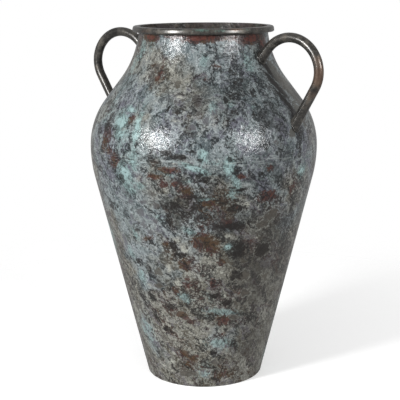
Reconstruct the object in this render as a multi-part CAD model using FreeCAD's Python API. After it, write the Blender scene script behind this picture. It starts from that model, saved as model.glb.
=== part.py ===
import FreeCAD, Part
import math
import os

os.makedirs("parts", exist_ok=True)

# A tall two-handled urn in patinated sheet metal, in millimetres. It stands on the floor plane
# with its axis on Z, and its two handles lie near the X axis. Angles are in degrees.

# The vessel's outline.
overall_height = 600.0
belly_height = 400.5
belly_radius = 192.0
foot_radius = 99.3
neck_radius = 108.0
lower_belly_arc = 216.6
neck_top_lean = 6.0

# The shoulder's steepest lean is a share of the chord's from belly to neck, and its convex arc
# is a share of the neck's concave one.
shoulder_lean_share = 1.56
shoulder_arc_share = 0.838

# The sheet, its turned-in foot lip and the disc that closes the foot.
wall = 1.5
foot_bend = 0.8
foot_lip_width = 12.0
disc_clearance = 0.3
collar_edge = 0.5

# The rolled ring round the mouth.
ring_height = 9.3
ring_overhang = 10.3
ring_top_round = 2.8
ring_bottom_round = 2.2

# The seams.
belly_weld_face = 3.0
belly_weld_root = 1.0
belly_bead = 0.6
base_weld_leg = 3.0
rim_braze_leg = 1.4
rim_braze_clearance = 0.1
handle_weld_leg = 2.8
handle_weld_clearance = 0.3

# The handles' round bar, by its centreline.
handle_bar_diameter = 16.0
handle_proud = 34.0
handle_drop = 14.3
handle_crown_radius = 54.0
handle_side_radius = 49.0
upper_leg_slope = 50.2
side_start_angle = 17.7
lower_leg_lean = 30.3
leg_end_share = 0.5
handle_swing = 2.1

touch_tolerance = 0.001

AXIS = FreeCAD.Vector(0, 0, 1)
ORIGIN = FreeCAD.Vector(0, 0, 0)


def at(radius, height):
    """A point of an outline, in the upright plane through the X axis."""
    return FreeCAD.Vector(radius, 0, height)


def on_circle(centre, radius, angle):
    """The point of a circle in that plane, with its angle counted up from the horizontal."""
    turn = math.radians(angle)
    return at(centre.x + radius * math.cos(turn), centre.z + radius * math.sin(turn))


def arc(centre, radius, start, end):
    """The edge of a circle from one angle to another."""
    middle = on_circle(centre, radius, (start + end) / 2)
    return Part.Arc(on_circle(centre, radius, start), middle, on_circle(centre, radius, end)).toShape()


def line(start, end):
    return Part.LineSegment(start, end).toShape()


def revolved(edges):
    """The solid that an outline's closed loop of edges sweeps round the axis."""
    outline = Part.Wire(Part.__sortEdges__(edges))
    return Part.Face(outline).revolve(ORIGIN, AXIS, 360)


# The lower wall leans out from the foot on a straight line that runs into the lower belly arc.
belly_centre = at(belly_radius - lower_belly_arc, belly_height)
foot_distance = math.hypot(foot_radius - belly_centre.x, belly_height)
foot_bearing = math.degrees(math.atan2(belly_height, foot_radius - belly_centre.x))
cone_lean = foot_bearing - math.degrees(math.acos(lower_belly_arc / foot_distance))
cone_slope = math.tan(math.radians(cone_lean))
wall_across_cone = wall / math.cos(math.radians(cone_lean))

# The shoulder's arc, straight and neck arc close the way from the belly to the ring's underside.
ring_underside = overall_height - ring_height
shoulder_width = belly_radius - neck_radius
shoulder_rise = ring_underside - belly_height
chord_lean = math.degrees(math.atan2(shoulder_width, shoulder_rise))
shoulder_lean = shoulder_lean_share * chord_lean
lean_sine = math.sin(math.radians(shoulder_lean))
lean_cosine = math.cos(math.radians(shoulder_lean))
top_sine = math.sin(math.radians(neck_top_lean))
top_cosine = math.cos(math.radians(neck_top_lean))
width_per_arc = top_cosine - lean_cosine + shoulder_arc_share * (1 - lean_cosine)
rise_per_arc = lean_sine - top_sine + shoulder_arc_share * lean_sine
closure = lean_sine * rise_per_arc - lean_cosine * width_per_arc
neck_arc = (lean_sine * shoulder_rise - lean_cosine * shoulder_width) / closure
shoulder_arc = shoulder_arc_share * neck_arc
shoulder_centre = at(belly_radius - shoulder_arc, belly_height)
neck_centre = at(neck_radius + neck_arc * top_cosine, ring_underside + neck_arc * top_sine)


def cone_point(height, inset):
    """The point of the straight lower wall at a height, inset from its outer face."""
    return at(foot_radius + height * cone_slope - inset, height)


def belly_angle(drop, inset):
    """How far round the lower belly arc a point lies that is a drop below the girth."""
    return -math.degrees(math.asin(drop / (lower_belly_arc - inset)))


def shoulder_angle(rise, inset):
    return math.degrees(math.asin(rise / (shoulder_arc - inset)))


def neck_angle(drop):
    """The angle on the neck's outer arc of a point that is a drop below the ring."""
    height = ring_underside - drop
    return 180 + math.degrees(math.asin((neck_centre.z - height) / neck_arc))


def shoulder_run(inset, start):
    """The edges from the girth to the ring's underside, on the outer face or inset from it."""
    low = arc(shoulder_centre, shoulder_arc - inset, start, shoulder_lean)
    high = arc(neck_centre, neck_arc + inset, 180 + shoulder_lean, 180 + neck_top_lean)
    joining = line(low.lastVertex().Point, high.firstVertex().Point)
    return [low, joining, high]


def foot_corner(inset):
    """The bend's centre and the angles at which it leaves the floor and meets the cone."""
    bend_radius = foot_bend + wall - inset
    bend_height = foot_bend + wall
    half_turn = math.radians((90 - cone_lean) / 2)
    across = (foot_bend + wall) * math.tan(half_turn)
    centre = at(foot_radius - across, bend_height)
    return centre, bend_radius, -90, -cone_lean


def lower_run(inset, end):
    """The edges from the foot lip's inner edge to the girth, on the outer face or inset from it."""
    centre, bend_radius, leaving, meeting = foot_corner(inset)
    lip = line(at(foot_radius - foot_lip_width, inset), on_circle(centre, bend_radius, leaving))
    bend = arc(centre, bend_radius, leaving, meeting)
    belly = arc(belly_centre, lower_belly_arc - inset, -cone_lean, end)
    cone = line(bend.lastVertex().Point, belly.firstVertex().Point)
    return [lip, bend, cone, belly]


def end_of(edges):
    return edges[-1].lastVertex().Point


def start_of(edges):
    return edges[0].firstVertex().Point


def make_lower_body():
    """Spun cone and lower belly, with the foot lip and the lower side of the weld groove."""
    outside = lower_run(0, belly_angle(belly_weld_face / 2, 0))
    inside = lower_run(wall, belly_angle(belly_weld_root / 2, wall))
    groove_side = line(end_of(outside), end_of(inside))
    lip_edge = line(start_of(outside), start_of(inside))
    return revolved(outside + inside + [groove_side, lip_edge])


def make_shoulder_shell():
    """Spun shoulder and neck, which ends in an upright collar as high as the ring."""
    outside = shoulder_run(0, shoulder_angle(belly_weld_face / 2, 0))
    inside = shoulder_run(wall, shoulder_angle(belly_weld_root / 2, wall))
    groove_side = line(start_of(outside), start_of(inside))
    collar_inside = end_of(inside).x
    outer_corner = at(neck_radius, overall_height)
    edge_on_top = at(collar_inside + collar_edge, overall_height)
    edge_inside = at(collar_inside, overall_height - collar_edge)
    corners = [end_of(outside), outer_corner, edge_on_top, edge_inside, end_of(inside)]
    collar = [line(start, end) for start, end in zip(corners, corners[1:])]
    return revolved(outside + inside + collar + [groove_side])


def make_belly_weld():
    """The ring of weld in the groove, flush outside and with its bead proud of the inner face."""
    face_below = belly_angle(belly_weld_face / 2, 0)
    face_above = shoulder_angle(belly_weld_face / 2, 0)
    face_low = arc(belly_centre, lower_belly_arc, face_below, 0)
    face_high = arc(shoulder_centre, shoulder_arc, 0, face_above)
    root_below = belly_angle(belly_weld_root / 2, wall)
    root_above = shoulder_angle(belly_weld_root / 2, wall)
    root_low = on_circle(belly_centre, lower_belly_arc - wall, root_below)
    root_high = on_circle(shoulder_centre, shoulder_arc - wall, root_above)
    bead_crest = at(belly_radius - wall - belly_bead, belly_height)
    bead = [line(root_low, bead_crest), line(bead_crest, root_high)]
    side_low = line(face_low.firstVertex().Point, root_low)
    side_high = line(face_high.lastVertex().Point, root_high)
    return revolved([face_low, face_high, side_low, side_high] + bead)


def make_rim_ring():
    """Rolled bar ring round the collar, flush with its top and rounded on its outer edges."""
    outer = neck_radius + ring_overhang
    low_centre = at(outer - ring_bottom_round, ring_underside + ring_bottom_round)
    high_centre = at(outer - ring_top_round, overall_height - ring_top_round)
    low_round = arc(low_centre, ring_bottom_round, -90, 0)
    high_round = arc(high_centre, ring_top_round, 0, 90)
    bottom = line(at(neck_radius, ring_underside), low_round.firstVertex().Point)
    side = line(low_round.lastVertex().Point, high_round.firstVertex().Point)
    top = line(high_round.lastVertex().Point, at(neck_radius, overall_height))
    bore = line(at(neck_radius, overall_height), at(neck_radius, ring_underside))
    return revolved([bottom, low_round, side, high_round, top, bore])


def make_rim_braze():
    """Small fillet in the corner between the ring's underside and the neck."""
    corner = at(neck_radius + rim_braze_clearance, ring_underside)
    on_ring = at(neck_radius + rim_braze_leg, ring_underside)
    on_neck = on_circle(neck_centre, neck_arc - rim_braze_clearance, neck_angle(rim_braze_leg))
    return revolved([line(corner, on_ring), line(on_ring, on_neck), line(on_neck, corner)])


def make_base_disc():
    """Flat disc that lies on the foot lip from inside, clear of the bend all round."""
    bend_start = foot_corner(wall)[0].x
    return Part.makeCylinder(bend_start - disc_clearance, wall, at(0, wall), AXIS)


def make_base_weld():
    """Fillet of weld in the corner between the disc's top and the inner wall."""
    disc_top = wall * 2
    corner = cone_point(disc_top, wall_across_cone)
    up_wall = cone_point(disc_top + base_weld_leg, wall_across_cone)
    along_disc = at(make_base_disc().BoundBox.XMax - base_weld_leg, disc_top)
    return revolved([line(corner, up_wall), line(up_wall, along_disc), line(along_disc, corner)])


def turned(shape, bearing):
    copy = shape.copy()
    copy.rotate(ORIGIN, AXIS, bearing)
    return copy


def make_filled_body(clearance):
    """The body's outer form as one lump, grown by a clearance, its seam line away from the bar."""
    below = lower_run(-clearance, 0)[1:]
    above = shoulder_run(-clearance, 0)
    floor = line(at(0, start_of(below).z), start_of(below))
    lid = line(end_of(above), at(0, end_of(above).z))
    spine = line(lid.lastVertex().Point, floor.firstVertex().Point)
    return turned(revolved([floor] + below + above + [lid, spine]), 180)


def make_bar(clearance):
    """The handle's bar before its ends are trimmed: leg, crown arc, side arc and leg."""
    side_centre_x = belly_radius + handle_proud - handle_side_radius
    crown_height = overall_height - handle_drop - handle_crown_radius
    spread = handle_crown_radius - handle_side_radius
    junction = math.radians(side_start_angle)
    crown_centre = at(side_centre_x - spread * math.cos(junction), crown_height)
    side_centre = at(side_centre_x, crown_height + spread * math.sin(junction))
    crown = arc(crown_centre, handle_crown_radius, 90 + upper_leg_slope, side_start_angle)
    side = arc(side_centre, handle_side_radius, side_start_angle, -lower_leg_lean)
    leg_end = leg_end_share * neck_radius
    top_of_leg = crown.firstVertex().Point
    upper_fall = (top_of_leg.x - leg_end) * math.tan(math.radians(upper_leg_slope))
    upper_end = at(leg_end, top_of_leg.z - upper_fall)
    bottom_of_side = side.lastVertex().Point
    lower_fall = (bottom_of_side.x - leg_end) / math.tan(math.radians(lower_leg_lean))
    lower_end = at(leg_end, bottom_of_side.z - lower_fall)
    path = Part.Wire([line(upper_end, top_of_leg), crown, side, line(bottom_of_side, lower_end)])
    radius = handle_bar_diameter / 2 + clearance
    section = Part.Circle(upper_end, top_of_leg - upper_end, radius).toShape()
    return path.makePipeShell([Part.Wire([section])], True, False)


def lies_on(edge, shape):
    """Whether the middle of an edge lies on a shape's surface."""
    middle = edge.valueAt((edge.FirstParameter + edge.LastParameter) / 2)
    return Part.Vertex(middle).distToShape(shape)[0] < touch_tolerance


def make_handle():
    """One bar trimmed to the body, and the fillet welds round its shoulder and neck ends."""
    filled_body = make_filled_body(0)
    bar = make_bar(0)
    joined = filled_body.fuse(bar)
    bar_skin = bar.Shells[0]
    body_skin = filled_body.Shells[0]
    roots = [edge for edge in joined.Edges if lies_on(edge, bar_skin) and lies_on(edge, body_skin)]
    welded = joined.makeChamfer(handle_weld_leg, roots)
    around_body = welded.cut(make_filled_body(handle_weld_clearance))
    welds = around_body.cut(make_bar(handle_weld_clearance)).Solids
    welds.sort(key=lambda weld: weld.CenterOfMass.z)
    return bar.cut(filled_body).Solids[0], welds[0], welds[-1]


nodes = {
    "lower_body": make_lower_body(),
    "shoulder_shell": make_shoulder_shell(),
    "belly_weld": make_belly_weld(),
    "rim_ring": make_rim_ring(),
    "rim_braze": make_rim_braze(),
    "base_disc": make_base_disc(),
    "base_weld": make_base_weld(),
}

# Both handles are the same bar. They stand nearly opposite, each swung a little towards the front.
handle, shoulder_weld, neck_weld = make_handle()
for side, bearing in (("right", -handle_swing), ("left", 180 + handle_swing)):
    nodes["handle_" + side] = turned(handle, bearing)
    nodes["handle_" + side + "_shoulder_weld"] = turned(shoulder_weld, bearing)
    nodes["handle_" + side + "_neck_weld"] = turned(neck_weld, bearing)

for name, shape in nodes.items():
    shape.exportStep("parts/" + name + ".step")
    print(name, "valid" if shape.isValid() else "NOT VALID", len(shape.Solids), round(shape.Volume, 1))
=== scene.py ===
import math
import random

import bpy
import numpy as np
from mathutils import Matrix, Vector


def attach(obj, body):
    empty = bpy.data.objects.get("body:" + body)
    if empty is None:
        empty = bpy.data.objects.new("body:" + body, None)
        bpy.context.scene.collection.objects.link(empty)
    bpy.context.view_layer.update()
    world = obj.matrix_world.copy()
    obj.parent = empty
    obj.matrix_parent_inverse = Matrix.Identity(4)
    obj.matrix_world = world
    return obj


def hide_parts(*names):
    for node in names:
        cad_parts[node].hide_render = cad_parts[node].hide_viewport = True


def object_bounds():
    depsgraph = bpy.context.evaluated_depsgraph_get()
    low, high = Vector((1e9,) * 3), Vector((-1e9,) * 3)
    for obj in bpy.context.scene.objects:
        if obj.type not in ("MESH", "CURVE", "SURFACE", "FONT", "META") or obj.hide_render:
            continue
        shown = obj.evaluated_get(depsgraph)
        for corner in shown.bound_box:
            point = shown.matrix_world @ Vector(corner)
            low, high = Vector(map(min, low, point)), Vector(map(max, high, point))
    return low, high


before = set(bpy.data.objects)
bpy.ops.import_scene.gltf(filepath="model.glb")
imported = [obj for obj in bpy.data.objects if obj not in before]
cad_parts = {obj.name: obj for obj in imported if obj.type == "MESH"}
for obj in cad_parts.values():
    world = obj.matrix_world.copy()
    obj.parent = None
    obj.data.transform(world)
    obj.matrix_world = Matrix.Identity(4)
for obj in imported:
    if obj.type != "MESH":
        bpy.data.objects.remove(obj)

solid_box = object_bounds()

# The viewpoint is a long lens on a stand, a little above the rim and just under two metres away.
# The photograph is 400 pixels square, and its places are given in pixels across and down.
photo_size = 400
camera_place = Vector((1.0513, -1.4793, 0.6871))
camera_heading = 35.617
camera_pitch = 11.96
camera_roll = -0.287
sensor_width = 36.0
lens = 96.85

scene = bpy.context.scene


def put_in(name, data):
    """A new object in the scene."""
    made = bpy.data.objects.new(name, data)
    scene.collection.objects.link(made)
    return made


camera = put_in("camera", bpy.data.cameras.new("camera"))
camera.data.lens = lens
camera.data.sensor_width = sensor_width
aim = Matrix.Rotation(math.radians(camera_heading), 4, "Z")
aim = aim @ Matrix.Rotation(math.radians(90 - camera_pitch), 4, "X")
aim = aim @ Matrix.Rotation(math.radians(camera_roll), 4, "Z")
camera.matrix_world = Matrix.Translation(camera_place) @ aim
scene.camera = camera
scene.view_settings.view_transform = "Standard"


# The studio has a soft box on each side of the lens, pale all round, and a pale floor.
# The floor thins out from the foot outwards, so that it runs into the background without an edge.
softbox_spread = 48.5
softbox_height = 21.0
softbox_distance = 2.3
softbox_width, softbox_tall = 0.5, 0.56
softbox_powers = {"left": 56.0, "right": 29.0}
room_light = 0.45
mirrored_light = 0.36
floor_glow = 0.26
floor_radius = 9.0
floor_solid_radius = 0.25
floor_faded_radius = 1.1
white = (1, 1, 1, 1)
floor_colour = (0.93, 0.93, 0.93, 1)
mirrored_floor_colour = (0.4, 0.4, 0.4, 1)


def node(tree, kind, inputs, **settings):
    """The outputs of a new node. An input, found by place or name, is linked or set."""
    made = tree.nodes.new(kind)
    for name, value in settings.items():
        setattr(made, name, value)
    for place, value in inputs.items():
        if isinstance(value, bpy.types.NodeSocket):
            tree.links.new(value, made.inputs[place])
        else:
            made.inputs[place].default_value = value
    return made.outputs


def tree_of(*values):
    """The tree that the linked values come from, in which a node on them is made."""
    return next(value.id_data for value in values if isinstance(value, bpy.types.NodeSocket))


def sums(operation, *values):
    """A Math node on its values."""
    inputs = dict(enumerate(values))
    return node(tree_of(*values), "ShaderNodeMath", inputs, operation=operation)[0]


def times(value, factor, plus=None):
    """A value times a factor, plus another value where one is given."""
    if plus is None:
        return sums("MULTIPLY", value, factor)
    return sums("MULTIPLY_ADD", value, factor, plus)


def ramped(value, low, high):
    """A value's smooth step from nought at the low bound to one at the high bound."""
    inputs = {0: value, 1: low, 2: high}
    return node(tree_of(value), "ShaderNodeMapRange", inputs, interpolation_type="SMOOTHSTEP")[0]


def colour(text):
    """A colour written as red, green and blue in hexadecimal, made linear for the shader."""
    parts = [int(text[i:i + 2], 16) / 255 for i in (0, 2, 4)]
    return (*(((c + 0.055) / 1.055) ** 2.4 if c > 0.04045 else c / 12.92 for c in parts), 1)


def over(below, above, amount, strength=None):
    """One colour laid over another by an amount, which a strength may weaken."""
    if strength is not None:
        amount = times(amount, strength)
    below, above = (colour(shade) if isinstance(shade, str) else shade for shade in (below, above))
    inputs = {0: amount, 6: below, 7: above}
    return node(tree_of(amount), "ShaderNodeMix", inputs, data_type="RGBA")[2]


def new_finish(name):
    """A new material, its tree, and the place on the piece that its patterns go by."""
    finish = bpy.data.materials.new(name)
    finish.use_nodes = True
    finish.node_tree.nodes.clear()
    return finish, finish.node_tree, node(finish.node_tree, "ShaderNodeTexCoord", {})["Object"]


centre = (Vector(solid_box[0]) + Vector(solid_box[1])) / 2
toward_lens = math.atan2(camera_place.y, camera_place.x)
for side, swing in (("left", -softbox_spread), ("right", softbox_spread)):
    softbox = put_in("softbox_" + side, bpy.data.lights.new("softbox_" + side, "AREA"))
    softbox.data.shape = "RECTANGLE"
    softbox.data.size = softbox_width
    softbox.data.size_y = softbox_tall
    softbox.data.energy = softbox_powers[side]
    bearing = toward_lens + math.radians(swing)
    rise = math.radians(softbox_height)
    way = Vector((math.cos(bearing) * math.cos(rise), math.sin(bearing) * math.cos(rise), math.sin(rise)))
    softbox.location = centre + way * softbox_distance
    softbox.rotation_mode = "QUATERNION"
    softbox.rotation_quaternion = way.to_track_quat("Z", "Y")

world = bpy.data.worlds.new("studio")
world.use_nodes = True
scene.world = world
sky = world.node_tree
sky.nodes.clear()
rays = node(sky, "ShaderNodeLightPath", {})
mirrored = node(sky, "ShaderNodeMapRange", {0: rays["Is Glossy Ray"], 3: room_light, 4: mirrored_light})[0]
seen = node(sky, "ShaderNodeMapRange", {0: rays["Is Camera Ray"], 3: mirrored, 4: 1.0})[0]
background = node(sky, "ShaderNodeBackground", {0: white, 1: seen})[0]
node(sky, "ShaderNodeOutputWorld", {0: background})

floor_mesh = bpy.data.meshes.new("floor")
corners = [(x * floor_radius, y * floor_radius, 0) for x, y in ((-1, -1), (1, -1), (1, 1), (-1, 1))]
floor_mesh.from_pydata(corners, [], [(0, 1, 2, 3)])
floor = put_in("floor", floor_mesh)
pale_floor, paint, place = new_finish("pale_floor")
reach = node(paint, "ShaderNodeVectorMath", {0: place}, operation="LENGTH")["Value"]
faded = ramped(reach, floor_solid_radius, floor_faded_radius)
looks = node(paint, "ShaderNodeLightPath", {})
shade = over(floor_colour, mirrored_floor_colour, looks["Is Glossy Ray"])
matt = node(paint, "ShaderNodeBsdfDiffuse", {"Color": shade})[0]
lift = times(looks["Is Camera Ray"], floor_glow)
glow = node(paint, "ShaderNodeEmission", {0: white, 1: lift})[0]
painted = node(paint, "ShaderNodeAddShader", {0: matt, 1: glow})[0]
clear = node(paint, "ShaderNodeBsdfTransparent", {})[0]
shown = node(paint, "ShaderNodeMixShader", {0: faded, 1: painted, 2: clear})[0]
node(paint, "ShaderNodeOutputMaterial", {0: shown})
floor_mesh.materials.append(pale_floor)


# The lower body is one sheet, spun over a former into a cone that rounds out into the belly.
# Its foot is turned in as a flat lip, and its top edge is bevelled for the seam round the girth.
def metres(*sizes):
    """Sizes given in millimetres, in the scene's metres."""
    return [size / 1000 for size in sizes]


belly_height, belly_radius, foot_radius = metres(400.5, 192, 99.3)
lower_belly_arc, wall, foot_bend, foot_lip_width = metres(216.6, 1.5, 0.8, 12)
weld_face, weld_root = metres(3, 1)
steps_round, bend_fineness, crease_angle = 360, 4, 38
outer_step, inner_step = metres(2.6, 6)
sheet_dent, dent_size = metres(0.35, 55)
same_place = 1e-6


def around(centre, radius, start, end, step):
    """Points of an arc from one angle to another, in radius and height, about a step apart."""
    count = max(2, round(abs(math.radians(end - start)) * abs(radius) / step))
    turns = np.radians(np.linspace(start, end, count + 1))
    return [(centre[0] + radius * math.cos(a), centre[1] + radius * math.sin(a)) for a in turns]


def along(start, end, step):
    """Points of a straight stretch with both its ends, about a step apart."""
    count = max(1, round(math.dist(start, end) / step))
    return [tuple(p) for p in np.linspace(start, end, count + 1)]


def leaning(angle):
    """The sine and the cosine of an angle in degrees."""
    return math.sin(math.radians(angle)), math.cos(math.radians(angle))


def outline(*stretches):
    """One run of points through all stretches, with no point twice."""
    points = []
    for point in (point for stretch in stretches for point in stretch):
        if not points or math.dist(point, points[-1]) > same_place:
            points.append(point)
    return points


def making_tree(name, asked):
    """A new tree that makes a piece, with the inputs asked for and one for its finish."""
    tree = bpy.data.node_groups.new(name, "GeometryNodeTree")
    for title, kind in {**asked, "Finish": "Material"}.items():
        tree.interface.new_socket(title, in_out="INPUT", socket_type="NodeSocket" + kind)
    tree.interface.new_socket("Piece", in_out="OUTPUT", socket_type="NodeSocketGeometry")
    return tree, node(tree, "NodeGroupInput", {})


def hand_out(tree, piece, finish):
    """The end of a making tree: real geometry with its finish on."""
    real = node(tree, "GeometryNodeRealizeInstances", {0: piece})[0]
    finished = node(tree, "GeometryNodeSetMaterial", {0: real, 2: finish})[0]
    node(tree, "NodeGroupOutput", {0: finished})
    return tree


def vectors(operation, *values):
    """A Vector Math node on its values."""
    inputs = dict(enumerate(values))
    return node(tree_of(*values), "ShaderNodeVectorMath", inputs, operation=operation)[0]


def spinning_tree():
    """The tree that turns an outline about the upright axis and dents the sheet a little."""
    asked = {"Outline": "Geometry", "Steps round": "Int", "Dent depth": "Float", "Dent size": "Float"}
    tree, given = making_tree("spun_piece", asked)
    size = node(tree, "GeometryNodeAttributeDomainSize", {0: given["Outline"]})["Point Count"]
    rows, columns = sums("ADD", given["Steps round"], 1), sums("ADD", size, 1)
    grid = node(tree, "GeometryNodeMeshGrid", {"Vertices X": rows, "Vertices Y": columns})[0]
    index = node(tree, "GeometryNodeInputIndex", {})[0]
    row = sums("FLOOR", sums("DIVIDE", index, columns))
    column = sums("FLOORED_MODULO", index, columns)
    wrapped = sums("FLOORED_MODULO", column, size)
    position = node(tree, "GeometryNodeInputPosition", {})[0]
    sampling = {0: given["Outline"], 1: position, 2: wrapped}
    sampled = node(tree, "GeometryNodeSampleIndex", sampling, data_type="FLOAT_VECTOR")[0]
    angle = times(sums("DIVIDE", row, given["Steps round"]), math.tau)
    turning = {"Vector": sampled, "Angle": angle}
    turned = node(tree, "ShaderNodeVectorRotate", turning, rotation_type="Z_AXIS")[0]
    spun = node(tree, "GeometryNodeSetPosition", {0: grid, 2: turned})[0]
    closed = node(tree, "GeometryNodeMergeByDistance", {0: spun, "Distance": same_place})[0]
    often = sums("DIVIDE", 1, given["Dent size"])
    noise = node(tree, "ShaderNodeTexNoise", {"Vector": position, "Scale": often, "Detail": 2.0})[0]
    depth = times(noise, given["Dent depth"])
    outward = vectors("NORMALIZE", vectors("MULTIPLY", position, (1, 1, 0)))
    back = times(depth, -1)
    shift = node(tree, "ShaderNodeVectorMath", {0: outward, "Scale": back}, operation="SCALE")[0]
    dented = node(tree, "GeometryNodeSetPosition", {0: closed, 3: shift})[0]
    return hand_out(tree, dented, given["Finish"])


spun_piece = spinning_tree()


def made_by(tree, name, line, settings, closed=False):
    """The mesh that a tree makes from a line of points, as a plain object with smooth faces."""
    start = bpy.data.meshes.new(name + "_line")
    links = len(line) if closed else len(line) - 1
    start.from_pydata(line, [(i, (i + 1) % len(line)) for i in range(links)], [])
    rough = put_in(name + "_start", start)
    modifier = rough.modifiers.new("making", "NODES")
    modifier.node_group = tree
    for socket in tree.interface.items_tree:
        if socket.in_out == "INPUT" and socket.name in settings:
            modifier[socket.identifier] = settings[socket.name]
    rough.update_tag()
    evaluated = rough.evaluated_get(bpy.context.evaluated_depsgraph_get())
    mesh = bpy.data.meshes.new_from_object(evaluated)
    bpy.data.objects.remove(rough)
    mesh.name = name
    mesh.shade_smooth()
    mesh.set_sharp_from_angle(angle=math.radians(crease_angle))
    return put_in(name, mesh)


def spun(name, points, finish, dent=sheet_dent):
    """A piece turned from an outline that runs anticlockwise, with radius to the right."""
    corners = [(radius, 0, height) for radius, height in points]
    settings = {"Steps round": steps_round, "Dent depth": dent, "Dent size": dent_size, "Finish": finish}
    return made_by(spun_piece, name, corners, settings)


belly_centre = (belly_radius - lower_belly_arc, belly_height)
foot_bearing = math.atan2(belly_height, foot_radius - belly_centre[0])
foot_distance = math.hypot(belly_height, foot_radius - belly_centre[0])
cone_lean = math.degrees(foot_bearing - math.acos(lower_belly_arc / foot_distance))
outer_bend = foot_bend + wall
bend_width = outer_bend * math.tan(math.radians((90 - cone_lean) / 2))


def lower_run(inset, top_height, step):
    """The lower body's outline from the lip's inner edge to the girth, inset from the outer face."""
    bend_centre = (foot_radius - bend_width, outer_bend)
    top = -math.degrees(math.asin((belly_height - top_height) / (lower_belly_arc - inset)))
    corner = around(bend_centre, outer_bend - inset, -90, -cone_lean, step / bend_fineness)
    belly = around(belly_centre, lower_belly_arc - inset, -cone_lean, top, step)
    lip = along((foot_radius - foot_lip_width, inset), corner[0], step)
    return outline(lip, corner, along(corner[-1], belly[0], step), belly)


lower_outside = lower_run(0, belly_height - weld_face / 2, outer_step)
lower_inside = lower_run(wall, belly_height - weld_root / 2, inner_step)

# Some dark and shade stains are painted shadow and painted shade; each of these places says so.
# The urn's finish is a patina brushed and sprayed over dark bronzed metal, then lacquered.
# It has a fine grey stipple, ragged stains of verdigris and rust, bare dark places and pale crusts.
# A stain is (across, down, half width, half height, strength): its place in the photograph, its
# size in millimetres, and where it is turned, a sixth number for the degrees clockwise.
seam_stains = {
    "verdigris": (
        (124, 173, 14, 14, 1.2), (133, 159, 7, 16, 0.9), (128, 187, 13, 13, 0.7), (141, 186, 9, 7, 0.7),
        (203, 156, 7, 10, 1.2), (195, 169, 21, 4.5, 1.25, 18), (229, 167, 8, 12, 1.4),
        (236, 182, 6, 16, 1.1, -20), (233, 194, 8, 11, 0.8), (215, 163, 16, 4, 0.6), (302, 170, 11, 9, 1.0),
        (262, 180, 22, 12, 0.3), (171, 176, 7, 4, 0.8), (186, 182, 10, 3, 0.7),
    ),
    "rust": (
        (212, 212, 50, 36, 0.42), (276, 208, 34, 40, 0.36), (170, 170, 14, 4, 1.3), (154, 176, 12, 5, 0.85),
        (164, 184, 8, 6, 0.9), (173, 184, 6, 6, 0.9), (185, 191, 11, 11, 0.9), (242, 177, 8, 4, 1.2),
        (271, 167, 10, 6, 1.0), (268, 196, 14, 8, 1.4), (292, 188, 6, 10, 1.1), (114, 160, 9, 9, 1.3, -40),
    ),
    "dark": (
        (196, 205, 46, 34, 0.66), (270, 198, 26, 34, 0.42), (215, 240, 40, 26, 0.4), (166, 153, 9, 3, 0.8),
        (179, 157, 12, 4, 0.9), (191, 152, 9, 3, 0.7), (200, 160, 6, 3, 0.8), (203, 181, 7, 4, 1.0),
        (240, 190, 10, 2, 1.2), (230, 160, 3, 4, 1.1), (236, 170, 5, 5, 1.0), (262, 173, 4, 3, 0.9),
        (121, 178, 8, 7, 0.8), (116, 156, 8, 12, 0.6), (300, 152, 6, 16, 0.8), (190, 196, 8, 5, 0.9),
    ),
    "crust": (
        (195, 205, 46, 32, 0.45), (174, 164, 8, 4, 1.0), (152, 168, 15, 4, 0.9), (140, 180, 12, 8, 0.7),
        (165, 192, 9, 6, 1.0), (220, 188, 14, 8, 0.7), (145, 190, 16, 12, 0.5),
    ),
    "plain": (
        (277, 143, 14, 12, 0.6), (151, 194, 9, 6, 0.8), (157, 207, 8, 8, 0.75), (131, 203, 8, 9, 0.75),
        (141, 212, 9, 8, 0.8), (124, 191, 7, 9, 0.6),
    ),
    # The shade rows are partly painted shade: broad darker, smoother zones of the finish, most of them on
    # the right, away from the key light.
    "shade": (
        (256, 278, 42, 62, 1.1), (254, 338, 34, 38, 0.8), (268, 240, 40, 40, 0.9), (236, 222, 34, 16, 0.8),
        (182, 206, 24, 14, 0.7), (272, 160, 34, 30, 0.5),
    ),
    "blue": (
        (118, 190, 40, 60, 1.0), (130, 250, 26, 60, 1.0), (152, 330, 26, 60, 0.9), (218, 345, 36, 40, 0.5),
        (230, 140, 80, 28, 0.8), (146, 215, 30, 50, 0.6), (140, 280, 24, 40, 0.7),
    ),
}
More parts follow.
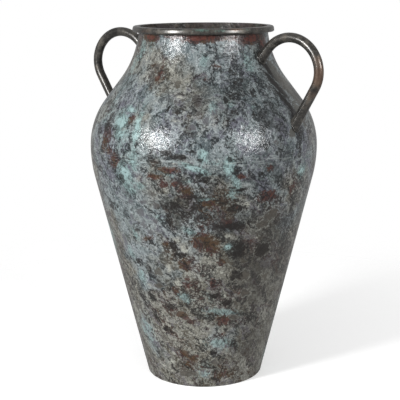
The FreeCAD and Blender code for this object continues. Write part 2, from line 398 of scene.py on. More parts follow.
lower_stains = {
    "verdigris": (
        (206, 200, 10, 3, 1.1), (190, 232, 10, 4, 0.9, 25), (228, 247, 6, 5, 1.2),
        (184, 298, 13, 8, 0.75, 25), (136, 235, 5, 10, 0.75, -30), (131, 253, 7, 14, 0.65, -25),
        (142, 276, 7, 10, 0.8), (224, 312, 30, 6, 0.75, 10), (207, 311, 10, 8, 0.6),
        (146, 326, 16, 20, 0.6), (222, 344, 24, 10, 0.65, 15), (203, 374, 14, 14, 0.6),
        (212, 292, 20, 44, 0.25), (118, 207, 18, 26, 0.2), (128, 218, 14, 30, 0.22), (160, 218, 8, 5, 0.6),
        (152, 340, 14, 16, 0.5),
    ),
    "rust": (
        (196, 288, 26, 44, 0.32), (209, 204, 10, 5, 1.4), (148, 238, 13, 3, 0.9, -20),
        (166, 244, 4, 4, 1.5), (202, 242, 14, 13, 1.2), (212, 246, 11, 13, 0.9), (185, 266, 12, 12, 0.9),
        (187, 282, 6, 12, 0.9), (176, 291, 8, 7, 0.8), (213, 284, 4, 7, 1.3), (182, 315, 16, 8, 0.9, 20),
        (191, 322, 9, 5, 1.0, 25), (223, 320, 10, 7, 1.3), (222, 334, 8, 5, 0.6), (184, 354, 11, 7, 1.2),
        (193, 358, 8, 6, 1.2), (188, 363, 12, 5, 0.8, 30), (223, 374, 12, 8, 0.9), (240, 292, 16, 6, 0.6),
        (228, 222, 14, 8, 0.8), (201, 228, 6, 5, 0.9), (222, 262, 6, 6, 1.1), (252, 240, 18, 6, 0.6),
    ),
    "dark": (
        (236, 208, 16, 5, 1.1), (222, 203, 8, 3, 1.0), (230, 226, 24, 8, 1.1), (240, 250, 14, 14, 1.0),
        (237, 274, 12, 14, 0.9), (226, 303, 8, 4, 1.3), (215, 296, 8, 5, 0.9), (174, 206, 13, 9, 0.9),
        (170, 221, 8, 12, 0.7), (196, 208, 12, 5, 1.1), (173, 245, 5, 9, 1.1, -20), (181, 255, 10, 3, 1.0),
        (152, 273, 12, 5, 0.8, 40), (152, 297, 4, 14, 0.9, -35), (155, 314, 4, 12, 0.9, -35),
        (172, 306, 12, 8, 0.6), (213, 353, 6, 4, 1.1), (233, 344, 6, 5, 0.8), (292, 205, 4, 12, 0.9),
        (113, 206, 10, 6, 0.7), (262, 250, 13, 11, 1.2), (248, 320, 6, 10, 0.8), (168, 330, 10, 5, 0.7),
        (200, 217, 10, 6, 0.9), (284, 240, 10, 40, 0.5), (139, 262, 6, 10, 0.7, -30),
        (144, 300, 6, 12, 0.6, -30),
    ),
    "crust": (
        (246, 205, 8, 5, 1.3), (228, 236, 8, 5, 1.1), (256, 238, 8, 5, 0.9), (247, 237, 3, 5, 0.9),
        (176, 240, 7, 3, 1.1, 25), (184, 249, 6, 10, 1.1, -25), (152, 258, 12, 2, 0.9),
        (169, 268, 5, 10, 1.2), (168, 283, 6, 12, 0.6), (178, 283, 8, 6, 1.3), (189, 276, 5, 7, 1.0),
        (151, 285, 9, 5, 0.9), (163, 294, 8, 4, 0.8), (156, 305, 8, 8, 0.7), (193, 316, 3, 6, 1.0, -35),
        (225, 296, 4, 8, 0.9), (222, 272, 12, 6, 0.8), (201, 290, 14, 30, 0.45), (200, 341, 12, 8, 0.8),
        (174, 353, 7, 4, 1.5, 25), (173, 361, 5, 4, 1.3, 25), (163, 365, 10, 3, 1.1, 35),
        (259, 206, 2, 9, 0.9), (140, 250, 30, 60, 0.3), (206, 262, 14, 10, 0.6), (188, 224, 16, 10, 0.5),
        (270, 207, 6, 4, 0.9),
    ),
    "plain": (
        (145, 202, 9, 7, 0.8), (143, 224, 9, 8, 0.75), (132, 218, 7, 9, 0.7), (156, 221, 7, 7, 0.7),
        (150, 232, 8, 6, 0.7), (272, 214, 14, 7, 1.2, -20), (262, 224, 10, 6, 1.2), (158, 272, 9, 7, 1.0),
        (160, 286, 9, 5, 0.9), (243, 276, 12, 10, 0.9), (246, 292, 13, 7, 0.8), (266, 276, 14, 14, 0.7),
        (256, 365, 12, 18, 0.7), (268, 320, 8, 20, 0.7), (125, 240, 8, 14, 0.8), (137, 305, 8, 10, 0.8),
        (188, 374, 16, 5, 0.9), (214, 362, 6, 5, 1.0), (234, 317, 9, 5, 0.9), (262, 250, 12, 10, 1.4),
    ),
}

# A stain's place is looked for along a line of sight, from its near distance to its far one. What
# lies deeper than most of the wall is an inner face.
sight_near, sight_far, sight_steps = 1.2, 2.4, 2401
inner_depth = wall * 0.6
stain_fall = 0.6


def face_radius_of(points):
    """The radius of a spun face by height, from its outline's points."""
    rising = sorted((height, radius) for radius, height in points)
    heights = [height for height, radius in rising]
    radii = [radius for height, radius in rising]
    return lambda height: np.interp(height, heights, radii)


def sight(across, down):
    """The way from the lens to a place in the photograph."""
    focal = lens / sensor_width * photo_size
    right, up = (across - photo_size / 2) / focal, (photo_size / 2 - down) / focal
    return np.array(aim.to_3x3() @ Vector((right, up, -1)))


def place_under(across, down, radius_at):
    """The bearing and height on the body that a place in the photograph shows."""
    ray = sight(across, down)
    distance = np.linspace(sight_near, sight_far, sight_steps)
    points = np.array(camera_place) + distance[:, None] * ray
    outside = np.hypot(points[:, 0], points[:, 1]) - radius_at(points[:, 2])
    x, y, z = points[np.argmax(outside < 0) if outside.min() < 0 else np.argmin(outside)]
    return math.atan2(y, x), z


# On the far side each kind of stain has a number, a least and a most half size, and a strength.
far_kinds = {
    "verdigris": (30, 8, 30, 1.0), "rust": (34, 5, 18, 1.0), "dark": (30, 6, 20, 1.1),
    "crust": (26, 5, 18, 0.8), "plain": (22, 6, 14, 1.0), "copper": (8, 6, 16, 0.7),
    "shade": (7, 30, 70, 0.9), "blue": (9, 30, 70, 1.0),
}
far_start, far_sweep = math.radians(78), math.radians(204)
far_weakest, far_slant = 0.5, 40


def far_stains(kind):
    """Chance stains of one kind on the side that the photograph doesn't show."""
    chance = random.Random(kind)
    count, least, most, strength = far_kinds[kind]
    for _ in range(count):
        bearing = toward_lens + far_start + chance.random() * far_sweep
        height = chance.uniform(0, solid_box[1].z)
        width, tall = metres(chance.uniform(least, most), chance.uniform(least, most))
        strong = strength * chance.uniform(far_weakest, 1)
        yield bearing, height, width, tall, strong, chance.uniform(-far_slant, far_slant)


def points_of(piece):
    """The places of a piece's points, one to a row."""
    points = np.empty(len(piece.data.vertices) * 3)
    piece.data.vertices.foreach_get("co", points)
    return points.reshape(-1, 3)


def store(piece, kind, amount):
    """Keeps an amount for every point of a piece, under the name of its kind."""
    piece.data.attributes.new(kind, "FLOAT", "POINT").data.foreach_set("value", amount)


def stain(piece, radius_at, *groups):
    """Stores each kind of stain on a piece, and its inner face, as a soft amount at every point."""
    x, y, z = points_of(piece).T
    bearings, girth = np.arctan2(y, x), radius_at(z)
    for kind in far_kinds:
        seen = [(*row, 0)[:6] for group in groups for row in group.get(kind, ())]
        places = [(*place_under(*row[:2], radius_at), *metres(*row[2:4]), *row[4:]) for row in seen]
        places += far_stains(kind)
        amount = np.zeros(len(z))
        for bearing, height, width, tall, strength, turned in places:
            aside = ((bearings - bearing + math.pi) % math.tau - math.pi) * girth
            sine, cosine = leaning(turned)
            wide_reach = (aside * cosine - (z - height) * sine) / width
            tall_reach = (aside * sine + (z - height) * cosine) / tall
            spot = strength * np.exp(-stain_fall * (wide_reach ** 2 + tall_reach ** 2))
            amount = np.maximum(amount, spot)
        store(piece, kind, amount)
    store(piece, "inside", (girth - np.hypot(x, y) > inner_depth).astype(float))


def grain(place, size, detail, seed, coarseness=0.6, curl=0.0):
    """Noise with features of about a size in millimetres, curled over by some multiple of it."""
    look = {"Scale": 1000 / size, "Detail": detail, "Roughness": coarseness, "Distortion": curl}
    inputs = {"Vector": place, "W": seed, **look}
    return node(tree_of(place), "ShaderNodeTexNoise", inputs, noise_dimensions="4D")[0]


def amount_of(tree, kind):
    """The amount of one kind of stain at each place on a piece."""
    return node(tree, "ShaderNodeAttribute", {}, attribute_name=kind)["Fac"]


def ragged(amount, noise, spread, low, high):
    """A soft amount made into a stain with a ragged edge."""
    shifted = times(noise, spread, sums("SUBTRACT", amount, spread / 2))
    return ramped(shifted, low, high)


def edge_of(value, rise, fall):
    """A thin line along the edge of a wash, between a value's rise and its fall."""
    return sums("SUBTRACT", ramped(value, *rise), ramped(value, *fall))


def tones(value, *stops):
    """Colours by a value, each given with the value that it stands at."""
    made = node(tree_of(value), "ShaderNodeValToRGB", {0: value})[0]
    ramp = made.node.color_ramp
    while len(ramp.elements) < len(stops):
        ramp.elements.new(0.5)
    for element, (position, text) in zip(ramp.elements, stops):
        element.position = position
        element.color = colour(text)
    return made


def surfaced(finish, height, strength, relief, skin):
    """The finished material: a skin, with its colour and gloss, made bumpy by a height."""
    tree = finish.node_tree
    bumpiness = {"Strength": strength, "Distance": relief, "Height": height}
    bump = node(tree, "ShaderNodeBump", bumpiness)[0]
    skin["Normal"] = bump
    if "Coat Weight" in skin:
        skin["Coat Normal"] = bump
    shader = node(tree, "ShaderNodeBsdfPrincipled", skin)[0]
    node(tree, "ShaderNodeOutputMaterial", {0: shader})
    return finish


drift_size, drift_aside, drift_upright, patina_relief = metres(20, 45, 55, 1)
scratched_within, scratched_fully = metres(16, 2)
streak_slant, streak_squeeze, scratch_stretch = 1.8, 0.62, 0.06


def aged_sheet():
    """The patina on the spun sheet."""
    finish, tree, still = new_finish("verdigris_sheet")
    drifting = {"Vector": still, "Scale": 1 / drift_size, "Detail": 3.0, "Roughness": 0.5}
    drift = node(tree, "ShaderNodeTexNoise", drifting)["Color"]
    drift = vectors("SUBTRACT", drift, (0.5, 0.5, 0.5))
    place = vectors("MULTIPLY_ADD", drift, (drift_aside, drift_aside, drift_upright), still)
    upright = node(tree, "ShaderNodeSeparateXYZ", {0: still})[2]

    # The washes ran down in streaks, upright on the shoulder and slanting on the lower body.
    slanting = {0: upright, 1: 0.0, 2: belly_height, 3: 0.0, 4: streak_slant}
    slant = node(tree, "ShaderNodeMapRange", slanting)[0]
    turning = {"Vector": place, "Angle": slant}
    turned = node(tree, "ShaderNodeVectorRotate", turning, rotation_type="Z_AXIS")[0]
    run = vectors("MULTIPLY", turned, (1, 1, streak_squeeze))

    # Each grain has its size in millimetres, its detail and its seed, then how coarse and curled it is.
    broad = times(upright, -0.35, sums("ADD", grain(place, 120, 3, 1), 0.12))
    island = grain(run, 32, 6, 2, 0.62, 0.35)
    violet = grain(run, 42, 6, 13, 0.62, 0.35)
    wash = grain(run, 24, 6, 14, 0.64, 0.5)
    shadow = grain(run, 20, 6, 15, 0.66, 0.6)
    swirl = grain(place, 9.5, 4, 3, 0.6, 0.9)
    fleck = grain(place, 8, 5, 6, 0.66)
    torn = times(wash, 0.55, times(fleck, 0.45))
    zone = grain(place, 50, 2, 9)
    speck = grain(still, 3.4, 3, 4, 0.7)
    pit = grain(still, 4.2, 3, 5, 0.7)
    ripple = grain(still, 7, 2, 17, 0.5)
    kinds = ("verdigris", "crust", "dark", "shade", "blue", "rust", "plain")
    verdigris, crust, dark, shade, blue, rust, smooth = (amount_of(tree, kind) for kind in kinds)
    # The shade amount is partly painted shade: it thins the stipple and the washes where it lies.
    thinly = times(shade, -0.75, 1)
    plain = ragged(smooth, swirl, 1.8, 0.5, 0.6)
    open_ground = sums("SUBTRACT", 1, plain)

    # Thin washes over the bronzed metal lie in ragged flakes of different greys, each dried to a
    # pale line at its edge. More are olive below, and more are blue above.
    warmth = ramped(times(crust, 0.05, times(blue, -0.15, broad)), 0.36, 0.56)
    layer = over("495255", "524e45", warmth)
    layer = over(layer, over("53545d", "5a5759", warmth), ramped(violet, 0.5, 0.53))
    olive = ramped(times(warmth, 0.05, island), 0.53, 0.545)
    layer = over(layer, over("3b4343", "443f36", warmth), olive, 0.75)
    drying = over("7f8889", "7e7e77", warmth)
    layer = over(layer, drying, edge_of(island, (0.485, 0.5), (0.51, 0.53)), 0.7)
    washed = times(crust, 0.06, times(shade, -0.05, wash))
    film = ramped(washed, 0.52, 0.535)
    layer = over(layer, drying, film, times(thinly, 0.55))
    layer = over(layer, drying, edge_of(washed, (0.5, 0.515), (0.53, 0.55)), 0.65)
    browned = times(ramped(violet, 0.49, 0.56), warmth)
    browned = sums("MAXIMUM", ramped(rust, 0.15, 0.5), times(browned, 0.75))
    rust_tone = tones(fleck, (0.42, "1c1414"), (0.5, "35211f"), (0.6, "4b3029"))
    rust_tone = over(rust_tone, "473820", ramped(island, 0.48, 0.58), 0.55)
    worn = sums("SUBTRACT", times(warmth, 0.035), 0.01)
    foot_wash = times(ramped(upright, 0.2, 0.06), 0.035)
    worn = sums("SUBTRACT", sums("ADD", worn, shadow), foot_wash)
    bared = times(dark, 0.12, worn)
    bared = times(rust, 0.09, bared)
    bared = times(crust, -0.08, bared)
    bottom = over(over("1a1e20", "1f1d1c", warmth), rust_tone, browned)
    layer = over(layer, bottom, ramped(bared, 0.52, 0.545), 0.88)
    # Partly painted shade: the shade amount darkens broad zones, most of them on the side away from the key
    # light.
    layer = over(layer, "302f2d", shade, 0.6)

    # Smooth bare places between the stippled ones, with a pale line round each.
    bare = over("413f3a", "4e4a43", ramped(fleck, 0.4, 0.6))
    bare = over(bare, "5c5d64", ramped(blue, 0.2, 0.7), 0.8)
    layer = over(layer, bare, plain, 0.8)
    frosted = sums("SUBTRACT", ragged(smooth, swirl, 1.8, 0.36, 0.44), plain)
    layer = over(layer, drying, sums("MAXIMUM", frosted, 0), 0.5)

    # Pale stipple, cooler above than below, and greener where verdigris lies near.
    greening = sums("ADD", verdigris, sums("SUBTRACT", island, 0.48))
    powder = over("9ca2a4", "9b9b92", warmth)
    powder = over(powder, "8aa19f", ramped(greening, 0.03, 0.56))
    thick = ramped(times(zone, 0.3, washed), 0.6, 0.8)
    shower = times(ramped(speck, 0.51, 0.58), times(thick, 0.45, 0.32))
    shower = times(shower, times(open_ground, thinly))
    layer = over(layer, powder, shower)

    # Pale crusts.
    crusted = ragged(crust, torn, 3.0, 0.84, 0.96)
    layer = over(layer, "a0a198", crusted, 0.62)

    # Verdigris, blotched light and dark.
    green_edge = ragged(verdigris, torn, 3.2, 0.46, 0.66)
    green = over("5a6d6c", "8ba3a2", ramped(fleck, 0.42, 0.58))
    strong = times(ramped(verdigris, 0.5, 1.1), 0.3, 0.45)
    layer = over(layer, green, green_edge, strong)
    thickest = ragged(verdigris, torn, 2.6, 0.86, 1.0)
    layer = over(layer, "9cb6b6", thickest, 0.45)

    # Bare dark metal, and painted shadow: the dark amount also carries the shadow under the ring, the right
    # handle's cast shadow and painted shade round its roots.
    broken = times(wash, 0.4, times(fleck, 0.6))
    darkness = ragged(dark, broken, 4.6, 0.52, 0.64)
    deep = times(ramped(dark, 0.9, 1.4), 0.12, 0.83)
    layer = over(layer, "1a1614", darkness, deep)

    # Rust, from a dark violet brown to a warm one.
    rusted = ragged(rust, torn, 3.6, 0.62, 0.76)
    layer = over(layer, rust_tone, rusted, 0.85)
    fresh = ragged(rust, torn, 3.6, 1.35, 1.6)
    layer = over(layer, "5a2e25", fresh, 0.55)

    # Dark pinholes everywhere but on the smooth places.
    hole = times(ramped(pit, 0.47, 0.41), times(open_ground, thinly))
    layer = over(layer, "141414", hole, times(dark, 0.3, 0.58))

    # Fine scratches run round the girth, where the seam was ground.
    beside_seam = sums("ABSOLUTE", sums("SUBTRACT", upright, belly_height))
    near_seam = ramped(beside_seam, scratched_within, scratched_fully)
    level = vectors("MULTIPLY", still, (scratch_stretch, scratch_stretch, 1))
    scratch = grain(level, 1.6, 2, 16)
    bright = times(ramped(scratch, 0.56, 0.62), near_seam)
    layer = over(layer, "959b97", bright, 0.45)
    cut = times(ramped(scratch, 0.44, 0.38), near_seam)
    layer = over(layer, "1c1b1a", cut, 0.5)

    # The inner faces are dark and unwashed, with faint mottles.
    within = tones(fleck, (0.4, "1f1c1a"), (0.5, "332e2b"), (0.6, "4a423c"))
    within = over(within, "4d4548", ramped(violet, 0.5, 0.56), 0.5)
    within = over(within, "4b5651", ramped(wash, 0.55, 0.6), 0.5)
    layer = over(layer, within, amount_of(tree, "inside"), 0.95)

    rough = times(shower, 0.1, 0.4)
    height = times(pit, 0.6, times(ripple, 0.9, times(speck, 0.4)))
    skin = {
        "Base Color": layer, "Metallic": 0.1, "Roughness": rough,
        "Specular IOR Level": 0.12, "Coat Weight": 0.56, "Coat Roughness": 0.11,
    }
    return surfaced(finish, height, 0.85, patina_relief, skin)


verdigris_sheet = aged_sheet()
lower_body = spun("lower_body_shell", lower_outside + lower_inside[::-1], verdigris_sheet)
stain(lower_body, face_radius_of(lower_outside), lower_stains, seam_stains)
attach(lower_body, "root")
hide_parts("lower_body")


# The shoulder shell is the second spun sheet. It turns in over the belly, runs straight, and
# flares into the neck, whose edge stands up as a collar inside the rolled ring.
neck_radius, ring_height, collar_edge = metres(108, 9.3, 0.5)
overall_height = solid_box[1].z
neck_top_lean, collar_steps = 6.0, 3
shoulder_lean_share, shoulder_arc_share = 1.56, 0.838
shoulder_stains = {
    "verdigris": (
        (122, 121, 14, 12, 1.2), (137, 128, 6, 32, 1.0), (131, 110, 12, 5, 1.0), (121, 134, 15, 8, 0.8),
        (124, 147, 24, 20, 0.35), (108, 112, 12, 28, 0.4), (143, 48, 10, 18, 0.75), (150, 45, 8, 10, 0.6),
        (136, 62, 12, 18, 0.55), (130, 77, 12, 18, 0.45), (120, 92, 10, 18, 0.6), (204, 62, 7, 10, 0.5),
        (247, 62, 14, 20, 0.55), (213, 107, 6, 8, 0.7), (231, 106, 5, 6, 0.7), (252, 107, 10, 5, 0.45),
    ),
    "rust": (
        (106, 140, 10, 15, 1.2), (108, 151, 9, 9, 1.2, -20), (132, 118, 6, 7, 1.0), (151, 37, 16, 6, 2.0),
        (173, 37, 14, 4, 1.3), (200, 37, 30, 6, 2.2), (252, 38, 22, 8, 2.0), (262, 43, 11, 9, 1.7),
        (232, 36, 16, 5, 1.6), (161, 72, 5, 14, 1.25), (157, 79, 10, 5, 1.0), (217, 66, 9, 4, 0.65),
        (206, 77, 5, 8, 0.6), (150, 90, 9, 10, 0.4),
    ),
    "dark": (
        # The first three rows are painted shadow: a dark line just under the ring.
        (255, 36, 20, 4, 1.3), (215, 34, 40, 2, 1.0), (150, 34, 14, 2, 0.8), (238, 92, 40, 36, 0.4),
        (107, 128, 8, 9, 0.9), (168, 109, 2, 5, 1.4, 30), (197, 100, 8, 12, 0.6), (192, 129, 8, 9, 0.5),
        (225, 96, 16, 10, 0.5), (178, 113, 9, 8, 0.6), (224, 112, 9, 8, 0.5), (252, 93, 5, 8, 0.8),
        # Painted shadow: this line lays the right handle's cast shadow down its lower leg. The next line
        # and the first row after it are painted shade round the handle's roots.
        (267, 68, 4, 14, 2.0, -24), (277, 86, 4, 18, 2.0, -28), (287, 103, 4, 16, 2.0, -28),
        (295, 118, 5, 9, 1.8), (262, 60, 8, 9, 1.5), (264, 48, 6, 12, 1.0), (300, 134, 6, 10, 0.8),
        (298, 126, 7, 6, 1.1), (232, 122, 10, 5, 0.7), (262, 116, 12, 8, 0.4),
    ),
    "crust": (
        (186, 57, 6, 4, 0.9), (180, 97, 8, 3, 1.1, 10), (183, 113, 3, 8, 0.9, 15), (177, 121, 12, 3, 1.0),
        (190, 118, 9, 4, 0.8), (151, 118, 14, 14, 0.6), (194, 91, 8, 2, 0.8, 20), (295, 122, 5, 2, 1.2),
        (150, 62, 26, 34, 0.75), (156, 105, 30, 24, 0.65), (172, 76, 26, 30, 0.6),
    ),
    # Partly painted shade: darker, smoother zones on the right of the shoulder, away from the key light.
    "shade": ((240, 92, 44, 36, 0.25), (274, 118, 30, 24, 0.5), (196, 104, 16, 20, 0.4)),
    "blue": ((240, 95, 55, 60, 1.0), (118, 110, 22, 60, 0.5), (200, 125, 30, 24, 0.6)),
    "plain": (
        (177, 85, 8, 9, 0.8), (165, 92, 7, 6, 0.6), (197, 101, 8, 10, 0.85), (214, 112, 7, 6, 0.7),
        (206, 120, 8, 8, 0.75), (191, 127, 8, 7, 0.75), (177, 112, 8, 6, 0.75), (184, 101, 6, 6, 0.65),
        (292, 133, 8, 8, 1.1), (285, 84, 15, 44, 1.3, -30), (277, 62, 10, 20, 1.1, -20),
        (222, 107, 6, 5, 0.8), (300, 112, 16, 20, 1.0),
    ),
}

ring_underside = overall_height - ring_height
rise, run = ring_underside - belly_height, belly_radius - neck_radius
shoulder_lean = shoulder_lean_share * math.degrees(math.atan2(run, rise))
lean_sine, lean_cosine = leaning(shoulder_lean)
top_sine, top_cosine = leaning(neck_top_lean)
width_per_arc = top_cosine - lean_cosine + shoulder_arc_share * (1 - lean_cosine)
rise_per_arc = lean_sine - top_sine + shoulder_arc_share * lean_sine
neck_arc = (lean_sine * rise - lean_cosine * run) / (lean_sine * rise_per_arc - lean_cosine * width_per_arc)
shoulder_arc = shoulder_arc_share * neck_arc
shoulder_centre = (belly_radius - shoulder_arc, belly_height)
neck_centre = (neck_radius + neck_arc * top_cosine, ring_underside + neck_arc * top_sine)


def shoulder_run(inset, low_height, step):
    """The shoulder's outline from the girth to the ring's underside, inset from the outer face."""
    low = math.degrees(math.asin((low_height - belly_height) / (shoulder_arc - inset)))
    belly = around(shoulder_centre, shoulder_arc - inset, low, shoulder_lean, step)
    neck = around(neck_centre, neck_arc + inset, 180 + shoulder_lean, 180 + neck_top_lean, step)
    return outline(belly, along(belly[-1], neck[0], step), neck)


shoulder_outside = shoulder_run(0, belly_height + weld_face / 2, outer_step)
shoulder_inside = shoulder_run(wall, belly_height + weld_root / 2, inner_step)
collar_inside = shoulder_inside[-1][0]
collar = (
    along((neck_radius, ring_underside), (neck_radius, overall_height), ring_height / collar_steps)
    + [(collar_inside + collar_edge, overall_height), (collar_inside, overall_height - collar_edge)]
)
shoulder_outline = outline(shoulder_outside, collar, shoulder_inside[::-1])
shoulder_shell = spun("shoulder_and_neck_shell", shoulder_outline, verdigris_sheet)
stain(shoulder_shell, face_radius_of(shoulder_outside), shoulder_stains, seam_stains)
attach(shoulder_shell, "root")
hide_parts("shoulder_shell")


# The belly weld fills the groove between the two sheets. It is ground flush outside, where fine
# lines still run round the girth, and its bead stands a little proud inside.
belly_bead, weld_face_step = metres(0.6, 0.8)
reach_below = math.degrees(math.asin(weld_face / 2 / lower_belly_arc))
reach_above = math.degrees(math.asin(weld_face / 2 / shoulder_arc))
weld_face_low = around(belly_centre, lower_belly_arc, -reach_below, 0, weld_face_step)
weld_face_high = around(shoulder_centre, shoulder_arc, 0, reach_above, weld_face_step)
bead_crest = (belly_radius - wall - belly_bead, belly_height)
weld_outline = outline(weld_face_low, weld_face_high, [shoulder_inside[0], bead_crest, lower_inside[-1]])
belly_weld = spun("girth_weld", weld_outline, verdigris_sheet)
stain(belly_weld, face_radius_of(lower_outside), seam_stains)
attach(belly_weld, "root")
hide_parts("belly_weld")


# The base disc lies on the turned-in lip, and a fillet of weld closes the corner round it.
# Both are plain sheet and weld metal, seen only through the mouth and from below. The disc is
# spun too, from an eye of a hair's width at the axis.
disc_clearance, disc_eye, disc_step, base_weld_leg, base_relief = metres(0.3, 0.2, 10, 3, 0.4)
disc_top = wall * 2
fillet_points = 4


def base_sheet():
    """Plain darkened sheet with a fine grain."""
    finish, tree, still = new_finish("darkened_sheet")
    cloud = grain(still, 30, 5, 7)
    speck = grain(still, 3, 2, 8)
    layer = tones(cloud, (0.38, "2f2d2b"), (0.5, "45423e"), (0.62, "5a5650"))
    layer = over(layer, "6d4a37", ramped(speck, 0.52, 0.62), 0.5)
    rough = times(speck, 0.3, 0.35)
    skin = {"Base Color": layer, "Metallic": 0.3, "Roughness": rough}
    return surfaced(finish, speck, 0.4, base_relief, skin)


darkened_sheet = base_sheet()
disc_radius = foot_radius - bend_width - disc_clearance
disc_outline = outline(
    along((disc_eye, wall), (disc_radius, wall), disc_step),
    along((disc_radius, disc_top), (disc_eye, disc_top), disc_step),
)
base_disc = spun("foot_disc", disc_outline, darkened_sheet, 0)
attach(base_disc, "root")
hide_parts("base_disc")

inner_radius = face_radius_of(lower_inside)
fillet_heights = np.linspace(disc_top, disc_top + base_weld_leg, fillet_points)
fillet_wall = [(float(inner_radius(height)), height) for height in fillet_heights]
fillet_outline = outline([(disc_radius - base_weld_leg, disc_top)], fillet_wall)
base_weld = spun("foot_weld", fillet_outline, darkened_sheet, 0)
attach(base_weld, "root")
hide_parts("base_weld")


# The rim is a bar rolled into a ring round the collar, flush with its top, its outer edges
# rounded. A thin line of braze holds it from below. It wears to dark bronze with a green bloom.
ring_overhang, ring_top_round, ring_bottom_round = metres(10.3, 2.8, 2.2)
ring_round_step, ring_flat_step = metres(0.6, 3)
face_low, face_high = 2.0, 17.0  # where the crowned outer face starts and ends, in degrees
rim_braze_leg, rim_braze_sink, bronze_relief = metres(1.4, 0.2, 0.4)
rim_braze_waist = rim_braze_leg * 0.4
rim_stains = {
    "verdigris": (
        (201, 30, 16, 4, 0.8), (221, 31, 14, 4, 0.65), (183, 30, 8, 3, 0.5), (247, 30, 12, 4, 0.55),
        (262, 28, 8, 4, 0.5),
    ),
    "copper": (
        (144, 31, 16, 5, 0.6), (210, 27, 10, 3, 0.8), (236, 29, 10, 4, 0.9), (258, 27, 8, 3, 0.7),
    ),
}


def bronze_bar():
    """Dark bronzed bar, rubbed brown in places and green where the stain lies."""
    finish, tree, still = new_finish("dark_bronze")
    cloud = grain(still, 20, 5, 11, 0.65)
    speck = grain(still, 4, 3, 12, 0.7)
    layer = tones(cloud, (0.36, "262523"), (0.48, "3a3835"), (0.56, "4d4a45"), (0.66, "646058"))
    layer = over(layer, "6b6862", ramped(speck, 0.54, 0.66), 0.5)
    pinhole = ramped(speck, 0.45, 0.37)
    layer = over(layer, "151414", pinhole, 0.5)
    copper = ragged(amount_of(tree, "copper"), cloud, 1.6, 0.3, 0.9)
    layer = over(layer, "5e4534", copper, 0.6)
    green = ragged(amount_of(tree, "verdigris"), speck, 1.4, 0.5, 0.8)
    layer = over(layer, "5d7b72", green, 0.6)
    rough = times(cloud, 0.2, 0.25)
    skin = {
        "Base Color": layer, "Metallic": 0.4, "Roughness": rough,
        "Specular IOR Level": 0.2, "Coat Weight": 0.6, "Coat Roughness": 0.22,
    }
    return surfaced(finish, speck, 0.5, bronze_relief, skin)


dark_bronze = bronze_bar()
ring_outer = neck_radius + ring_overhang
low_sine, low_cosine = leaning(face_low)
high_sine, high_cosine = leaning(face_high)
ring_low = (ring_outer - ring_bottom_round, ring_underside + ring_bottom_round)
ring_low_round = around(ring_low, ring_bottom_round, -90, face_low, ring_round_step)
face_top = overall_height - ring_top_round * (1 - high_sine)
face_radius = (face_top - ring_low_round[-1][1]) / (high_sine - low_sine)
face_across = ring_low[0] - (face_radius - ring_bottom_round) * low_cosine
face_centre = (face_across, face_top - face_radius * high_sine)
ring_face = around(face_centre, face_radius, face_low, face_high, ring_round_step)
ring_high = (ring_face[-1][0] - ring_top_round * high_cosine, overall_height - ring_top_round)
ring_high_round = around(ring_high, ring_top_round, face_high, 90, ring_round_step)
ring_outline = outline(
    along((neck_radius, ring_underside), ring_low_round[0], ring_flat_step), ring_low_round,
    ring_face, ring_high_round,
    along(ring_high_round[-1], (neck_radius, overall_height), ring_flat_step),
)
rim_ring = spun("rolled_rim_ring", ring_outline, dark_bronze)
stain(rim_ring, lambda height: np.full_like(height, ring_outer), rim_stains)
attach(rim_ring, "root")
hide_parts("rim_ring")

braze_outline = [
    (neck_radius, ring_underside - rim_braze_leg),
    (neck_radius + rim_braze_waist, ring_underside - rim_braze_waist),
    (neck_radius + rim_braze_leg, ring_underside),
    (neck_radius - rim_braze_sink, ring_underside),
]
rim_braze = spun("rim_braze_line", braze_outline, dark_bronze)
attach(rim_braze, "root")
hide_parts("rim_braze")


# Each handle is one round bar, bent to a crown over the top and a tighter side, with two straight
# legs. Its ends are coped to the neck and the shoulder and welded there all round.
bar_radius, handle_proud, handle_drop = metres(8, 34, 14.3)
crown_radius, side_radius = metres(54, 49)
upper_leg_slope, side_start, lower_leg_lean, handle_swing = 50.2, 17.7, 30.3, 2.1
bar_step, bar_sink, bar_shortfall, tip_depth = metres(2.5, 0.4, 1, 0.5)
bar_sides, root_flare, root_length = 28, 0.1, bar_radius * 2
body_search, body_search_steps = 0.2, 4001


def bending_tree():
    """The tree that sweeps a round section along a centreline, with swellings and flared ends."""
    asked = {
        "Centreline": "Geometry", "Radius": "Float", "Sides": "Int", "Step": "Float", "Unevenness": "Float",
        "Uneven length": "Float", "End flare": "Float", "Flare length": "Float",
    }
    tree, given = making_tree("swept_bar", asked)
    curve = node(tree, "GeometryNodeMeshToCurve", {0: given["Centreline"]})[0]
    curve = node(tree, "GeometryNodeResampleCurve", {0: curve, "Length": given["Step"]}, mode="LENGTH")[0]
    position = node(tree, "GeometryNodeInputPosition", {})[0]
    often = sums("DIVIDE", 1, given["Uneven length"])
    noise = node(tree, "ShaderNodeTexNoise", {"Vector": position, "Scale": often, "Detail": 2.0})[0]
    thinner = times(noise, given["Unevenness"])
    gone = node(tree, "GeometryNodeSplineParameter", {})["Length"]
    whole = node(tree, "GeometryNodeSplineLength", {})["Length"]
    to_end = sums("MINIMUM", gone, sums("SUBTRACT", whole, gone))
    near = sums("MAXIMUM", sums("SUBTRACT", 1, sums("DIVIDE", to_end, given["Flare length"])), 0)
    flare = times(times(near, near), given["End flare"])
    share = sums("ADD", sums("SUBTRACT", 1, thinner), flare)
    width = times(share, given["Radius"])
    section = {"Resolution": given["Sides"], "Radius": 1.0}
    section = node(tree, "GeometryNodeCurvePrimitiveCircle", section)[0]
    sweeping = {0: curve, 1: section, "Scale": width, "Fill Caps": True}
    swept = node(tree, "GeometryNodeCurveToMesh", sweeping)[0]
    return hand_out(tree, swept, given["Finish"])


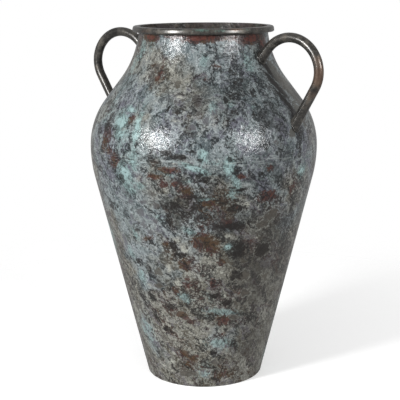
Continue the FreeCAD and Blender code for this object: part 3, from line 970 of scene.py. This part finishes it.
swept_bar = bending_tree()
body_outside = face_radius_of(lower_outside + shoulder_outside + [(neck_radius, overall_height)])


def to_body(points, way):
    """How far each point lies from the body's outer face along a way."""
    distance = np.linspace(0, body_search, body_search_steps)
    reached = np.array(points)[:, None] + distance[:, None] * np.array(way)
    inside = np.hypot(reached[..., 0], reached[..., 1]) < body_outside(reached[..., 2])
    return distance[np.argmax(inside, axis=1)]


def across_leg(leg_start, way, radius, sides):
    """Points round a leg's section at its start."""
    upright = np.array((way[2], 0, -way[0]))
    level = np.array((0, 1, 0))
    angles = np.linspace(0, math.tau, sides, endpoint=False)
    return [leg_start + radius * (math.cos(a) * upright + math.sin(a) * level) for a in angles]


side_x, crown_z = belly_radius + handle_proud - side_radius, overall_height - handle_drop - crown_radius
spread = crown_radius - side_radius
junction_sine, junction_cosine = leaning(side_start)
crown_centre = (side_x - spread * junction_cosine, crown_z)
side_centre = (side_x, crown_z + spread * junction_sine)
crown = around(crown_centre, crown_radius, 90 + upper_leg_slope, side_start, bar_step)
bend = outline(crown, around(side_centre, side_radius, side_start, -lower_leg_lean, bar_step))
bend = [np.array((x, 0, z)) for x, z in bend]
slope_sine, slope_cosine = leaning(upper_leg_slope)
leg_sine, leg_cosine = leaning(lower_leg_lean)
neck_way = np.array((-slope_cosine, 0, -slope_sine))
shoulder_way = np.array((-leg_sine, 0, -leg_cosine))
legs = {"neck": (bend[0], neck_way), "shoulder": (bend[-1], shoulder_way)}

# The weld is a low bead in the corner between bar and sheet, dressed smooth.
bead_radius, bead_rise, bead_step = metres(1.9, 0.9, 1.2)
root_points = 72

# Hands rubbed the bars brown. A rub is (across, down, half size, strength), given as stains are.
handle_rubs = {
    "right": (
        (317, 62, 16, 0.55), (321, 76, 20, 0.9), (314, 92, 16, 0.6), (305, 106, 14, 0.4),
        (284, 36, 12, 0.3),
    ),
    "left": ((97, 66, 12, 0.35), (104, 34, 12, 0.3)),
}
rub_near = 0.05


def rub(piece, kind, rows):
    """Stores rubs on a bar, each round the nearest point that shows at its place in the photograph."""
    points, lens_place = points_of(piece), np.array(camera_place)
    amount = np.zeros(len(points))
    for across, down, size, strength in rows:
        ray = sight(across, down)
        ray /= np.linalg.norm(ray)
        depth = (points - lens_place) @ ray
        beside = np.linalg.norm(points - lens_place - depth[:, None] * ray, axis=1)
        spot = points[np.argmin(beside + depth * rub_near)]
        away = np.linalg.norm(points - spot, axis=1) / (size / 1000)
        amount = np.maximum(amount, strength * np.exp(-stain_fall * away ** 2))
    store(piece, kind, amount)


def root_line(leg_start, way):
    """The closed line in which a leg's surface meets the body, raised a little into the corner."""
    section = across_leg(leg_start, way, bar_radius, root_points)
    met = np.array(section) + to_body(section, way)[:, None] * way
    axis = met.mean(0)
    outward = (met - axis) - ((met - axis) @ way)[:, None] * way
    outward /= np.linalg.norm(outward, axis=1)[:, None]
    return met + (outward - way) * bead_rise / math.sqrt(2)


def handed(points, bearing):
    """Points turned about the upright axis to a handle's bearing."""
    turn = Matrix.Rotation(math.radians(bearing), 3, "Z")
    return [tuple(turn @ Vector(p)) for p in points]


bar = {
    "Radius": bar_radius, "Sides": bar_sides, "Step": bar_step, "Unevenness": 0.05, "Uneven length": 0.03,
    "End flare": root_flare, "Flare length": root_length, "Finish": dark_bronze,
}
bead = {
    "Radius": bead_radius, "Sides": 12, "Step": bead_step, "Unevenness": 0.3, "Uneven length": 0.006,
    "End flare": 0.0, "Flare length": 1.0, "Finish": dark_bronze,
}
ends = {}
for leg, (leg_start, way) in legs.items():
    clear = to_body(across_leg(leg_start, way, bar_radius * (1 + root_flare), bar_sides), way).min()
    ends[leg] = leg_start + way * (clear - bar_shortfall)
bar_line = [ends["neck"], *bend, ends["shoulder"]]

for side, bearing in (("right", -handle_swing), ("left", 180 + handle_swing)):
    handle = made_by(swept_bar, side + "_handle_bar", handed(bar_line, bearing), bar)
    for leg, (leg_start, way) in legs.items():
        end, inward = (np.array(p) for p in handed([ends[leg], way], bearing))
        close_by = [v for v in handle.data.vertices if math.dist(v.co, end) < root_length]
        tips = [v for v in close_by if (np.array(v.co) - end) @ inward > -tip_depth]
        reach = to_body([np.array(v.co) for v in tips], inward)
        for vertex, far in zip(tips, reach):
            vertex.co += Vector(inward * (far + bar_sink))
        bead_line = handed(root_line(leg_start, way), bearing)
        weld = made_by(swept_bar, side + "_" + leg + "_weld_bead", bead_line, bead, closed=True)
        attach(weld, "root")
        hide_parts("handle_" + side + "_" + leg + "_weld")
    rub(handle, "copper", handle_rubs[side])
    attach(handle, "root")
    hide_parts("handle_" + side)
